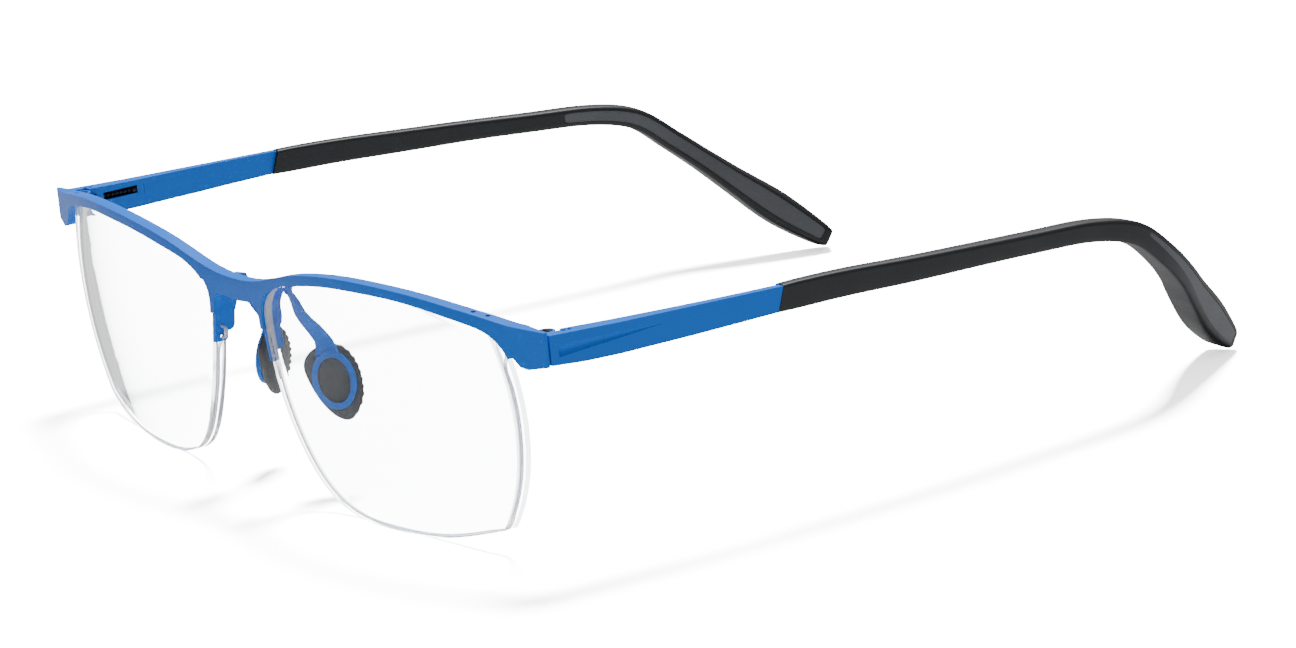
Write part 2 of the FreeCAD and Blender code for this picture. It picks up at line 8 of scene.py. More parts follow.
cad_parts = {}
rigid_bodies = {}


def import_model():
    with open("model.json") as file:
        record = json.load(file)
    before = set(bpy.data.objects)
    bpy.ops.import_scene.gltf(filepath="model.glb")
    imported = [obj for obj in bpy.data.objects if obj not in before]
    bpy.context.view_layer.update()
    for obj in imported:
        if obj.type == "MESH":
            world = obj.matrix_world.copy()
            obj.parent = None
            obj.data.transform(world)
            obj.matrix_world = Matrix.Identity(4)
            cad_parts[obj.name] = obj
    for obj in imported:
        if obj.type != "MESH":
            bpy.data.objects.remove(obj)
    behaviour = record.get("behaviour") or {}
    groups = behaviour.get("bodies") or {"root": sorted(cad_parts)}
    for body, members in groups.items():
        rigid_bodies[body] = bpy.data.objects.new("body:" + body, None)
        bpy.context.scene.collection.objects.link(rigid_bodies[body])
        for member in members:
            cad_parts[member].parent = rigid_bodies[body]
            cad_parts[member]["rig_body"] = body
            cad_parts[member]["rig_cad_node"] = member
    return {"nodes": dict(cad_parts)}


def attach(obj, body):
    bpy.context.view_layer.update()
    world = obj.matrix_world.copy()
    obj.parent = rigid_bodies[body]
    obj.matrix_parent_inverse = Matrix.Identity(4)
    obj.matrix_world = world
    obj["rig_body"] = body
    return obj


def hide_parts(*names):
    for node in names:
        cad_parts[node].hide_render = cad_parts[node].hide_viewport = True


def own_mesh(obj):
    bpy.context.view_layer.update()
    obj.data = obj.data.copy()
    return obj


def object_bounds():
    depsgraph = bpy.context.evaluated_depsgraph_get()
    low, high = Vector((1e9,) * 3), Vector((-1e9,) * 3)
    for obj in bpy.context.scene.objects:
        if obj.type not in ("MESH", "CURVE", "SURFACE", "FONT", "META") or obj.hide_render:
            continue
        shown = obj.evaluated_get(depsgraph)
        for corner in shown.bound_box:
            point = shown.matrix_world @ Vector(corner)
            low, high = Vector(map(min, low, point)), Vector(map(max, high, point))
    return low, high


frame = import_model()
cad_low, cad_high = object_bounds()
nodes = frame["nodes"]
MM = 0.001
FORWARD = Vector((0.0, -0.065, 0.0))   # from the drawing's origin at the lens fronts to the frame's
SIDES = (("left", 1), ("right", -1))


# ---------------------------------------------------------------- camera, floor and studio
FLOOR_WIDE = 8.0
FLOOR_GAP = 0.00005
FLOOR_BOUNCE = 0.6   # how much light the floor gives back to the object
FLOOR_GLOW = 0.6     # what it adds where it is seen straight
FLOOR_WHITE = 8.5    # how bright its lit parts look there
WORLD_LEVEL = 0.25


def place_camera():
    data = bpy.data.cameras.new("studio_camera")
    data.lens = 151.18
    data.sensor_width = 36.0
    data.clip_start, data.clip_end = 0.01, 50.0
    data.dof.use_dof = False
    camera = bpy.data.objects.new("studio_camera", data)
    bpy.context.scene.collection.objects.link(camera)
    azimuth, elevation, roll = 1.0313, 0.2417, -0.1001
    back = Vector((math.sin(azimuth) * math.cos(elevation), -math.cos(azimuth) * math.cos(elevation),
                   math.sin(elevation)))
    right = Vector((math.cos(azimuth), math.sin(azimuth), 0.0))
    up = back.cross(right)
    turned_right = right * math.cos(roll) + up * math.sin(roll)
    turned_up = up * math.cos(roll) - right * math.sin(roll)
    columns = Matrix((turned_right, turned_up, back)).transposed().to_4x4()
    camera.matrix_world = Matrix.Translation((0.65329, -0.39126, 0.19720)) @ columns
    bpy.context.scene.camera = camera


def add_softbox(name, place, target, wide, power):
    data = bpy.data.lights.new(name, "AREA")
    data.shape = "SQUARE"
    data.size = wide
    data.energy = power
    lamp = bpy.data.objects.new(name, data)
    bpy.context.scene.collection.objects.link(lamp)
    lamp.location = place
    lamp.rotation_euler = (Vector(target) - Vector(place)).to_track_quat("-Z", "Y").to_euler()


def build_studio():
    """A floor that only looks bright where it is seen straight or through a lens, a sky and two softboxes."""
    bpy.ops.mesh.primitive_plane_add(size=FLOOR_WIDE, location=(0, 0, cad_low.z - FLOOR_GAP))
    floor = bpy.context.object
    floor.name = "studio_floor"
    material = bpy.data.materials.new("white_sweep")
    material.use_nodes = True
    tree = material.node_tree
    shader = tree.nodes["Principled BSDF"]
    shader.inputs["Roughness"].default_value = 0.8
    shader.inputs["Specular IOR Level"].default_value = 0.0
    shader.inputs["Emission Color"].default_value = (1, 1, 1, 1)
    rays = tree.nodes.new("ShaderNodeLightPath")
    seen = tree.nodes.new("ShaderNodeMath")
    seen.operation = "MAXIMUM"
    bounces = tree.nodes.new("ShaderNodeMath")
    bounces.operation = "ADD"
    direct = tree.nodes.new("ShaderNodeMath")
    direct.operation = "LESS_THAN"
    direct.inputs[1].default_value = 0.5
    straight = tree.nodes.new("ShaderNodeMath")
    straight.operation = "MULTIPLY"
    glow = tree.nodes.new("ShaderNodeMath")
    glow.operation = "MULTIPLY"
    glow.inputs[1].default_value = FLOOR_GLOW
    tree.links.new(rays.outputs["Is Camera Ray"], seen.inputs[0])
    tree.links.new(rays.outputs["Is Transmission Ray"], seen.inputs[1])
    tree.links.new(rays.outputs["Diffuse Depth"], bounces.inputs[0])
    tree.links.new(rays.outputs["Glossy Depth"], bounces.inputs[1])
    tree.links.new(bounces.outputs[0], direct.inputs[0])
    tree.links.new(seen.outputs[0], straight.inputs[0])
    tree.links.new(direct.outputs[0], straight.inputs[1])
    tree.links.new(straight.outputs[0], glow.inputs[0])
    white = tree.nodes.new("ShaderNodeMix")
    white.data_type = "RGBA"
    white.inputs[6].default_value = (FLOOR_BOUNCE, FLOOR_BOUNCE, FLOOR_BOUNCE, 1)
    white.inputs[7].default_value = (FLOOR_WHITE, FLOOR_WHITE, FLOOR_WHITE * 1.01, 1)
    tree.links.new(straight.outputs[0], white.inputs["Factor"])
    tree.links.new(white.outputs[2], shader.inputs["Base Color"])
    tree.links.new(glow.outputs[0], shader.inputs["Emission Strength"])
    floor.data.materials.append(material)
    world = bpy.data.worlds.new("white_studio")
    bpy.context.scene.world = world
    world.use_nodes = True
    sky = world.node_tree.nodes["Background"]
    sky.inputs["Color"].default_value = (0.97, 0.985, 1.0, 1)
    sky.inputs["Strength"].default_value = WORLD_LEVEL
    add_softbox("key_softbox", (-0.55, 0.65, 1.8), (0, 0, 0), 0.4, 80.0)
    add_softbox("camera_side_softbox", (0.75, -0.75, 0.45), (0.03, -0.03, 0.02), 0.4, 1.1)


place_camera()


# ---------------------------------------------------------------- node groups and materials
def new_group(name, inputs, outputs):
    """An empty node group with float, colour or vector sockets, and its two end nodes."""
    group = bpy.data.node_groups.new(name, "ShaderNodeTree")
    kinds = {"f": "NodeSocketFloat", "c": "NodeSocketColor", "v": "NodeSocketVector"}
    for label, kind, value in inputs:
        socket = group.interface.new_socket(name=label, in_out="INPUT", socket_type=kinds[kind])
        socket.default_value = value
    for label, kind in outputs:
        group.interface.new_socket(name=label, in_out="OUTPUT", socket_type=kinds[kind])
    return group, group.nodes.new("NodeGroupInput"), group.nodes.new("NodeGroupOutput")


def build_fine_skin():
    """Fine grain, as a normal and a roughness that wanders, in millimetres on the object."""
    group, given, out = new_group(
        "fine_skin",
        [("Grain", "f", 4.0), ("Depth", "f", 0.1), ("Roughness", "f", 0.4), ("Spread", "f", 0.1)],
        [("Roughness", "f"), ("Normal", "v")])
    make, link = group.nodes.new, group.links.new
    place = make("ShaderNodeTexCoord")
    scaled = make("ShaderNodeMapping")
    scaled.inputs["Scale"].default_value = (1000, 1000, 1000)
    link(place.outputs["Object"], scaled.inputs["Vector"])
    grain = make("ShaderNodeTexNoise")
    grain.inputs["Detail"].default_value = 3.0
    link(scaled.outputs["Vector"], grain.inputs["Vector"])
    link(given.outputs["Grain"], grain.inputs["Scale"])
    bump = make("ShaderNodeBump")
    bump.inputs["Distance"].default_value = 0.00005
    link(given.outputs["Depth"], bump.inputs["Strength"])
    link(grain.outputs["Fac"], bump.inputs["Height"])
    link(bump.outputs["Normal"], out.inputs["Normal"])
    patches = make("ShaderNodeTexNoise")
    patches.inputs["Scale"].default_value = 0.22
    patches.inputs["Detail"].default_value = 4.0
    link(scaled.outputs["Vector"], patches.inputs["Vector"])
    centred = make("ShaderNodeMath")
    centred.operation = "SUBTRACT"
    centred.inputs[1].default_value = 0.5
    link(patches.outputs["Fac"], centred.inputs[0])
    wandering = make("ShaderNodeMath")
    wandering.operation = "MULTIPLY_ADD"
    link(centred.outputs[0], wandering.inputs[0])
    link(given.outputs["Spread"], wandering.inputs[1])
    link(given.outputs["Roughness"], wandering.inputs[2])
    link(wandering.outputs[0], out.inputs["Roughness"])
    return group


def build_tone():
    """A colour that drifts between two tones in soft patches, with tiny specks of a third."""
    group, given, out = new_group(
        "drifting_tone",
        [("Main", "c", (1, 1, 1, 1)), ("Other", "c", (1, 1, 1, 1)), ("Speck", "c", (1, 1, 1, 1)),
         ("Patch", "f", 0.15), ("Specks", "f", 0.1)],
        [("Color", "c")])
    make, link = group.nodes.new, group.links.new
    place = make("ShaderNodeTexCoord")
    scaled = make("ShaderNodeMapping")
    scaled.inputs["Scale"].default_value = (1000, 1000, 1000)
    link(place.outputs["Object"], scaled.inputs["Vector"])
    drift = make("ShaderNodeTexNoise")
    drift.inputs["Detail"].default_value = 2.0
    link(scaled.outputs["Vector"], drift.inputs["Vector"])
    link(given.outputs["Patch"], drift.inputs["Scale"])
    blend = make("ShaderNodeMix")
    blend.data_type = "RGBA"
    link(drift.outputs["Fac"], blend.inputs["Factor"])
    link(given.outputs["Main"], blend.inputs[6])
    link(given.outputs["Other"], blend.inputs[7])
    dots = make("ShaderNodeTexNoise")
    dots.inputs["Scale"].default_value = 3.0
    link(scaled.outputs["Vector"], dots.inputs["Vector"])
    few = make("ShaderNodeMapRange")
    few.inputs["From Min"].default_value = 0.66
    few.inputs["From Max"].default_value = 0.74
    link(dots.outputs["Fac"], few.inputs["Value"])
    amount = make("ShaderNodeMath")
    amount.operation = "MULTIPLY"
    link(few.outputs["Result"], amount.inputs[0])
    link(given.outputs["Specks"], amount.inputs[1])
    speckled = make("ShaderNodeMix")
    speckled.data_type = "RGBA"
    link(amount.outputs[0], speckled.inputs["Factor"])
    link(blend.outputs[2], speckled.inputs[6])
    link(given.outputs["Speck"], speckled.inputs[7])
    link(speckled.outputs[2], out.inputs["Color"])
    return group


FINE_SKIN = build_fine_skin()
TONE = build_tone()


def finish(name, main, other, speck, patch, specks, grain, depth, roughness, spread, **plain):
    """One material: drifting colour, fine grain, and the shader's own plain values."""
    material = bpy.data.materials.new(name)
    material.use_nodes = True
    tree = material.node_tree
    shader = tree.nodes["Principled BSDF"]
    tone = tree.nodes.new("ShaderNodeGroup")
    tone.node_tree = TONE
    for label, value in (("Main", main), ("Other", other), ("Speck", speck)):
        tone.inputs[label].default_value = (*value, 1.0)
    tone.inputs["Patch"].default_value = patch
    tone.inputs["Specks"].default_value = specks
    skin = tree.nodes.new("ShaderNodeGroup")
    skin.node_tree = FINE_SKIN
    for label, value in (("Grain", grain), ("Depth", depth), ("Roughness", roughness), ("Spread", spread)):
        skin.inputs[label].default_value = value
    tree.links.new(tone.outputs["Color"], shader.inputs["Base Color"])
    tree.links.new(skin.outputs["Roughness"], shader.inputs["Roughness"])
    tree.links.new(skin.outputs["Normal"], shader.inputs["Normal"])
    for label, value in plain.items():
        shader.inputs[label.replace("_", " ")].default_value = value
    return material


MATERIALS = {
    "blue_paint": finish(
        "satin_blue_paint", (0.0, 0.140, 0.66), (0.0, 0.155, 0.71), (0.003, 0.19, 0.78), 0.12, 0.12,
        2.2, 0.08, 0.44, 0.10, Coat_Weight=0.02, Coat_Roughness=0.2, Specular_IOR_Level=0.14),
    "lens_clear": finish(
        "clear_lens", (0.985, 0.992, 1.0), (0.97, 0.985, 0.995), (0.98, 0.99, 1.0), 0.05, 0.0,
        0.05, 0.0, 0.0, 0.0, Transmission_Weight=1.0, IOR=1.11),
    "ground_edge": finish(
        "ground_lens_edge", (0.86, 0.88, 0.96), (0.90, 0.92, 0.98), (0.95, 0.96, 1.0), 0.3, 0.1,
        3.0, 0.2, 0.5, 0.1, Specular_IOR_Level=0.3, Alpha=0.62),
    "nylon": finish(
        "clear_nylon", (0.82, 0.86, 0.94), (0.78, 0.82, 0.90), (0.90, 0.92, 0.96), 0.3, 0.1,
        5.0, 0.05, 0.22, 0.08, Transmission_Weight=0.35, IOR=1.3, Alpha=0.9),
    "pad_silicone": finish(
        "grey_silicone", (0.050, 0.055, 0.062), (0.062, 0.068, 0.076), (0.10, 0.105, 0.11), 0.25, 0.25,
        3.0, 0.25, 0.48, 0.14, Specular_IOR_Level=0.45),
    "steel": finish(
        "bright_steel", (0.56, 0.57, 0.59), (0.48, 0.49, 0.51), (0.7, 0.71, 0.72), 0.5, 0.2,
        4.0, 0.12, 0.26, 0.12, Metallic=1.0),
    # steel coloured near-black: painted shade, standing for the shade inside the hinge's slot
    "dark_steel": finish(
        "dark_steel", (0.045, 0.05, 0.06), (0.035, 0.04, 0.05), (0.10, 0.11, 0.12), 0.5, 0.2,
        4.0, 0.12, 0.38, 0.12, Metallic=1.0),
    "black_rubber": finish(
        "black_rubber", (0.0048, 0.0062, 0.0092), (0.0070, 0.0086, 0.0120), (0.03, 0.032, 0.035), 0.12, 0.35,
        3.2, 0.35, 0.52, 0.16, Specular_IOR_Level=0.42),
    "grey_rubber": finish(
        "grey_rubber", (0.082, 0.087, 0.097), (0.100, 0.106, 0.117), (0.13, 0.14, 0.15), 0.16, 0.35,
        3.6, 0.35, 0.62, 0.12, Specular_IOR_Level=0.35),
}
build_studio()


# ---------------------------------------------------------------- bench tools
MERGE_WITHIN = 0.000002
FLAT_WITHIN = 0.6       # degrees between facets that count as one face
CREASE = 30             # degrees from which an edge of a drawn part is sharp
BAR_REACH = 0.0605      # the bar is rounded as far out as this
BAR_ROUND = 0.0005


def pick(piece):
    """Only this piece is selected and active."""
    if bpy.context.mode != "OBJECT":
        bpy.ops.object.mode_set(mode="OBJECT")
    bpy.ops.object.select_all(action="DESELECT")
    piece.select_set(True)
    bpy.context.view_layer.objects.active = piece


def open_mesh(piece):
    pick(piece)
    bpy.ops.object.mode_set(mode="EDIT")
    bpy.ops.mesh.select_all(action="DESELECT")
    bpy.ops.mesh.select_mode(type="VERT")


def close_mesh():
    bpy.ops.object.mode_set(mode="OBJECT")


def apply_modifier(piece, kind, **values):
    pick(piece)
    modifier = piece.modifiers.new(kind.lower(), kind)
    for label, value in values.items():
        setattr(modifier, label, value)
    bpy.ops.object.modifier_apply(modifier=modifier.name)


def smooth(piece, angle):
    pick(piece)
    bpy.ops.object.shade_smooth_by_angle(angle=math.radians(angle))


def dress(piece, body, slot, *replaced):
    """Gives a finished piece its material where it has none and its body, and hides the CAD nodes that it
    stands for.
    """
    if not piece.data.materials:
        piece.data.materials.append(MATERIALS[slot])
    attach(piece, body)
    if replaced:
        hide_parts(*replaced)
    return piece


def from_drawing(x, y, z):
    """A place in the drawing's millimetres, as a place in the frame's metres."""
    return Vector((x, y, z)) * MM + FORWARD


def crafted(node, name, edge, look=None, shape=None):
    """A merged copy of a drawn part, shaped if need be, its sharp edges rounded over by edge millimetres."""
    source = nodes[node]
    piece = source.copy()
    piece.data = source.data.copy()
    piece.data.materials.clear()
    if look:
        piece.data.materials.append(MATERIALS[look])
    piece.name = piece.data.name = name
    bpy.context.scene.collection.objects.link(piece)
    piece.parent = None
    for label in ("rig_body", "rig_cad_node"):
        del piece[label]
    pick(piece)
    bpy.ops.mesh.customdata_custom_splitnormals_clear()
    open_mesh(piece)
    bpy.ops.mesh.select_all(action="SELECT")
    bpy.ops.mesh.remove_doubles(threshold=MERGE_WITHIN)
    bpy.ops.mesh.dissolve_limited(angle_limit=math.radians(FLAT_WITHIN))
    close_mesh()
    if shape:
        shape(piece)
    smooth(piece, CREASE)
    if edge:
        apply_modifier(piece, "BEVEL", width=edge * MM, segments=2, limit_method="ANGLE",
                       angle_limit=math.radians(CREASE), harden_normals=True, miter_outer="MITER_ARC")
    return piece


def round_bar(piece):
    """Rounds the bar's two long top edges over, so that it looks like a rod."""
    open_mesh(piece)
    bpy.ops.mesh.select_mode(type="EDGE")
    mesh = bmesh.from_edit_mesh(piece.data)
    for edge in mesh.edges:
        along = (edge.verts[1].co - edge.verts[0].co).normalized()
        reach = max(abs(vertex.co.x) for vertex in edge.verts)
        if len(edge.link_faces) == 2 and reach < BAR_REACH and abs(along.x) > 0.5:
            up = max(face.normal.z for face in edge.link_faces)
            edge.select_set(up > 0.6 and edge.calc_face_angle() > math.radians(40))
    bmesh.update_edit_mesh(piece.data)
    bpy.ops.mesh.bevel(offset=BAR_ROUND, segments=4, affect="EDGES", clamp_overlap=True)
    close_mesh()


def sweep(name, rings):
    """A disc extruded again and again, each new ring of points moved to its own place."""
    count = len(rings[0])
    bpy.ops.object.select_all(action="DESELECT")
    bpy.ops.mesh.primitive_circle_add(vertices=count, radius=0.01, fill_type="NGON")
    piece = bpy.context.object
    piece.name = piece.data.name = name
    for vertex, point in zip(piece.data.vertices, rings[0]):
        vertex.co = point
    bpy.ops.object.mode_set(mode="EDIT")
    bpy.ops.mesh.select_all(action="SELECT")
    for before, after in zip(rings[:-1], rings[1:]):
        bpy.ops.mesh.extrude_region_move()
        mesh = bmesh.from_edit_mesh(piece.data)
        order = {tuple(round(v, 7) for v in point): index for index, point in enumerate(before)}
        for vertex in mesh.verts:
            if vertex.select:
                vertex.co = after[order[tuple(round(v, 7) for v in vertex.co)]]
        bmesh.update_edit_mesh(piece.data)
    bpy.ops.mesh.select_all(action="SELECT")
    bpy.ops.mesh.normals_make_consistent(inside=False)
    close_mesh()
    return piece


def mirror_copy(piece, name):
    """The same piece for the other side, with its own mesh."""
    pick(piece)
    bpy.ops.object.duplicate()
    other = bpy.context.object
    other.name = other.data.name = name
    open_mesh(other)
    bpy.ops.mesh.select_all(action="SELECT")
    bpy.ops.transform.resize(value=(-1, 1, 1), center_override=(0, 0, 0))
    bpy.ops.mesh.flip_normals()
    close_mesh()
    return other


def through(points, steps):
    """Points on a smooth open line through the given points, steps to each span."""
    ends = [points[0] * 2 - points[1]] + list(points) + [points[-1] * 2 - points[-2]]
    found = []
    for a, b, c, d in zip(ends, ends[1:], ends[2:], ends[3:]):
        for step in range(steps):
            t = step / steps
            found.append(0.5 * ((2 * b) + (c - a) * t + (2 * a - 5 * b + 4 * c - d) * t * t
                                + (3 * b - a - 3 * c + d) * t ** 3))
    return found + [points[-1]]


def around(points, count):
    """Evenly spread points on a smooth closed line through the given points."""
    size = len(points)
    dense = []
    for index in range(size):
        a, b, c, d = (points[(index + shift) % size] for shift in (-1, 0, 1, 2))
        for step in range(40):
            t = step / 40
            dense.append(0.5 * ((2 * b) + (c - a) * t + (2 * a - 5 * b + 4 * c - d) * t * t
                                + (3 * b - a - 3 * c + d) * t ** 3))
    lengths = [0.0]
    for a, b in zip(dense, dense[1:] + dense[:1]):
        lengths.append(lengths[-1] + (b - a).length)
    found, index = [], 0
    for step in range(count):
        goal = lengths[-1] * step / count
        while lengths[index + 1] < goal:
            index += 1
        share = (goal - lengths[index]) / max(lengths[index + 1] - lengths[index], 1e-12)
        found.append(dense[index].lerp(dense[(index + 1) % len(dense)], share))
    return found


# ---------------------------------------------------------------- lenses
LENS_MIDDLE = (36.0, 17.0)
BALL = (23.51, 107.2, 24.1, 108.6)   # middle and radius of the front surface, in the drawing
LENS_POINTS = 160
LENS_THICK = 2.2
GROOVE_START, GROOVE_END, GROOVE_DEEP = 0.8, 1.4, 0.42
EDGE_BREAK = 0.12    # width of the small chamfer round both faces


def lens_depth(x, z, behind):
    """How far back a surface of the lens lies, at a place seen from the front."""
    return BALL[1] - math.sqrt((BALL[3] - behind) ** 2 - (x - BALL[0]) ** 2 - (z - BALL[2]) ** 2)


def lens_edge():
    """The left lens's outline, found on the drawn lens by feeling inwards from all round."""
    drawn = nodes["lens_left"]
    outline = []
    for index in range(LENS_POINTS):
        turn = 2 * math.pi * index / LENS_POINTS
        aim = Vector((math.cos(turn), 0, math.sin(turn)))
        x, z = LENS_MIDDLE[0] + aim.x * 20, LENS_MIDDLE[1] + aim.z * 15
        for _ in range(6):
            depth = lens_depth(x, z, 0.35)
            start = from_drawing(LENS_MIDDLE[0], depth, LENS_MIDDLE[1]) + aim * 0.06
            hit, place, _, _ = drawn.ray_cast(start, -aim)
            if hit:
                x, z = place.x / MM, place.z / MM
        outline.append((x, z))
    return outline


EDGE = lens_edge()


def edge_out(index):
    """The outward direction of the outline, seen from the front."""
    x0, z0 = EDGE[index - 1]
    x1, z1 = EDGE[(index + 1) % LENS_POINTS]
    return Vector((z1 - z0, 0, x0 - x1)).normalized()


def held_by_bar(index):
    """1 where the bar holds the edge, 0 where the cord does."""
    x, z = EDGE[index]
    return 1.0 if z > 22.6 + max(0.0, min(1.0, (x - 10) / 50)) * 5.7 else 0.0


def lens_ring(inward, behind, groove=0.0):
    """The outline moved inwards and back, and by groove further inwards where the cord lies."""
    points = []
    for index, (x, z) in enumerate(EDGE):
        out = edge_out(index)
        shift = inward + (groove if not held_by_bar(index) else 0.0)
        px, pz = x - out.x * shift, z - out.z * shift
        points.append(from_drawing(px, lens_depth(px, pz, behind), pz))
    return points


def lens_disc(share, behind):
    """The outline shrunk about the lens's middle, on a surface that far behind the front one."""
    points = []
    for x, z in EDGE:
        px = LENS_MIDDLE[0] + (x - LENS_MIDDLE[0]) * share
        pz = LENS_MIDDLE[1] + (z - LENS_MIDDLE[1]) * share
        points.append(from_drawing(px, lens_depth(px, pz, behind), pz))
    return points


def build_lens():
    """The left lens: two curved faces, a ground edge and the groove for the cord."""
    shares = (0.04, 0.15, 0.3, 0.45, 0.6, 0.75, 0.87, 0.95)
    rings = [lens_disc(share, 0.0) for share in shares]
    rings += [lens_ring(EDGE_BREAK, 0.0), lens_ring(0.035, 0.035), lens_ring(0.0, EDGE_BREAK)]
    rings += [lens_ring(0.0, GROOVE_START), lens_ring(0.0, 0.83, GROOVE_DEEP)]
    rings += [lens_ring(0.0, 1.37, GROOVE_DEEP), lens_ring(0.0, GROOVE_END)]
    rings += [lens_ring(0.0, 2.08), lens_ring(0.035, 2.165), lens_ring(EDGE_BREAK, LENS_THICK)]
    rings += [lens_disc(share, LENS_THICK) for share in reversed(shares)]
    lens = sweep("clear_lens_left", rings)
    smooth(lens, 40)
    lens.data.materials.append(MATERIALS["lens_clear"])
    lens.data.materials.append(MATERIALS["ground_edge"])
    middle = from_drawing(BALL[0], BALL[1], BALL[2])
    for face in lens.data.polygons:
        along = abs(face.normal.dot((face.center - middle).normalized()))
        face.material_index = 1 if along < 0.5 else 0
    return lens


# ---------------------------------------------------------------- nylon cords
CORD_RADIUS = 0.00025
CORD_SIDES = 12
CORD_SUNK = 0.26     # how far the cord's middle lies inside the lens's outline
CORD_BEHIND = 1.1    # and behind its front surface


def groove_point(index, inward):
    x, z = EDGE[index]
    out = edge_out(index)
    px, pz = x - out.x * inward, z - out.z * inward
    return from_drawing(px, lens_depth(px, pz, CORD_BEHIND), pz)


def cord_route():
    """The nylon's line: laced through the lug, round the lens's groove, and up into the bar."""
    lug = [from_drawing(8.0, 0.85, 21.8), from_drawing(7.3, 0.85, 21.8), from_drawing(6.78, 0.85, 21.7),
           from_drawing(6.6, 0.85, 21.3), from_drawing(6.62, 0.85, 20.8), from_drawing(6.85, 0.85, 20.4),
           from_drawing(7.4, 0.86, 20.3), from_drawing(7.95, 0.9, 20.1)]
    free = [index for index in range(LENS_POINTS) if not held_by_bar(index)]
    free.sort(key=lambda index: (index - LENS_POINTS // 4) % LENS_POINTS)
    below_lug = [index for index in free if EDGE[index][1] < 18.6 or EDGE[index][0] > 30]
    line = [groove_point(index, CORD_SUNK) for index in below_lug[::3]]
    hole = (59.6, lens_depth(59.6, 31.0, 0.45))
    bar = [from_drawing(61.9, lens_depth(61.9, 29.6, CORD_BEHIND), 29.75),
           from_drawing(60.2, hole[1], 30.9), from_drawing(hole[0], hole[1], 32.4)]
    return through(lug + line + bar, 3)


def thread(name, path, radius):
    """A round strand along a line of points."""
    rings = []
    side = Vector((0, 1, 0))
    for index, point in enumerate(path):
        along = (path[min(index + 1, len(path) - 1)] - path[max(index - 1, 0)]).normalized()
        side = (side - along * side.dot(along)).normalized()
        other = along.cross(side)
        ring = []
        for step in range(CORD_SIDES):
            turn = 2 * math.pi * step / CORD_SIDES
            ring.append(point + (side * math.cos(turn) + other * math.sin(turn)) * radius)
        rings.append(ring)
    piece = sweep(name, rings)
    smooth(piece, 60)
    return piece


# ---------------------------------------------------------------- rubber sleeves and their inlays
# Middle of the section, its height and its thickness, from the joint to the tip.
SLEEVE = [
    ((69.40, 43.3, 28.65), 3.80, 1.95), ((68.85, 53.7, 28.45), 3.65, 2.25),
    ((68.30, 65.3, 27.85), 3.40, 2.5), ((67.40, 76.6, 27.35), 3.10, 2.75),
    ((66.20, 87.1, 26.75), 2.95, 2.95), ((65.20, 96.9, 26.10), 3.00, 3.2),
    ((64.55, 104.6, 24.20), 3.30, 3.6), ((63.40, 110.0, 20.00), 3.40, 4.1),
    ((61.10, 114.3, 16.05), 3.55, 4.6), ((58.40, 117.8, 12.50), 4.10, 5.0),
    ((54.60, 123.1, 7.35), 5.20, 5.1), ((51.30, 128.1, 2.85), 3.70, 4.8),
    ((50.20, 129.8, 1.60), 2.60, 4.0),
]
SLEEVE_STEPS = 4
OUTER_FROM = 6 * SLEEVE_STEPS + 1
INNER_FROM = 18      # the inner inlay starts before the bend, the outer one after it
INLAY_TO = 11 * SLEEVE_STEPS + 1
FRONT_RINGS = 2      # rings added at the front end, which keep its edge crisp
RECESS_LIP = 0.00004
RECESS_DEEP = 0.0004
INLAY_SUNK = 0.00005
INLAY_THICK = 0.0003


def face_rows(flat, half_inlay):
    """Heights of the rows on a broad face; the second and fifth are the inlay's edges."""
    high = flat - 0.08
    low = max(high - 2 * half_inlay, -flat + 0.1)
    return [-flat, low, (2 * low + high) / 3, (low + 2 * high) / 3, high, flat]


def sleeve_sections():
    """The sleeve's rings; on each broad face two of the rows follow the inlay's upper and lower edge."""
    centres = through([Vector(row[0]) for row in SLEEVE], SLEEVE_STEPS)
    sizes = through([Vector((row[1], row[2], 0)) for row in SLEEVE], SLEEVE_STEPS)
    rings = []
    for index, (centre, size) in enumerate(zip(centres, sizes)):
        along = (centres[min(index + 1, len(centres) - 1)] - centres[max(index - 1, 0)]).normalized()
        outward = Vector((1, 0.1, 0))
        outward = (outward - along * outward.dot(along)).normalized()
        if index == 0:
            along = Vector((0, 1, -0.33)).normalized()
        height = outward.cross(along)
        tall, thick = size.x / 2, size.y / 2
        corner = min(0.42 * thick, 0.4 * tall)
        share = max(0.0, min(1.0, (index - OUTER_FROM) / (INLAY_TO - OUTER_FROM)))
        growing = 0.35 + (tall * 0.66 - 0.35) * min(1.0, share * 1.25)
        flat = tall - corner
        profile = [(thick, row) for row in face_rows(flat, growing)]
        for step in (1, 2):
            turn = math.pi / 6 * step
            profile.append((thick - corner + corner * math.cos(turn), flat + corner * math.sin(turn)))
        profile += [(thick - corner, tall), (-thick + corner, tall)]
        for step in (2, 1):
            turn = math.pi / 6 * step
            profile.append((-thick + corner - corner * math.cos(turn), flat + corner * math.sin(turn)))
        profile += [(-thick, row) for row in reversed(face_rows(flat, 0.56 * tall))]
        for step in (1, 2):
            turn = math.pi / 6 * step
            profile.append((-thick + corner - corner * math.cos(turn), -flat - corner * math.sin(turn)))
        profile += [(-thick + corner, -tall), (thick - corner, -tall)]
        for step in (2, 1):
            turn = math.pi / 6 * step
            profile.append((thick - corner + corner * math.cos(turn), -flat - corner * math.sin(turn)))
        rings.append([(centre + outward * a + height * b) * MM + FORWARD for a, b in profile])
    middle = centres[0] * MM + FORWARD
    mouth = [middle.lerp(point, 0.9) for point in rings[0]]
    behind = [point.lerp(further, 0.05) for point, further in zip(rings[0], rings[1])]
    return [mouth, rings[0], behind] + rings[1:]


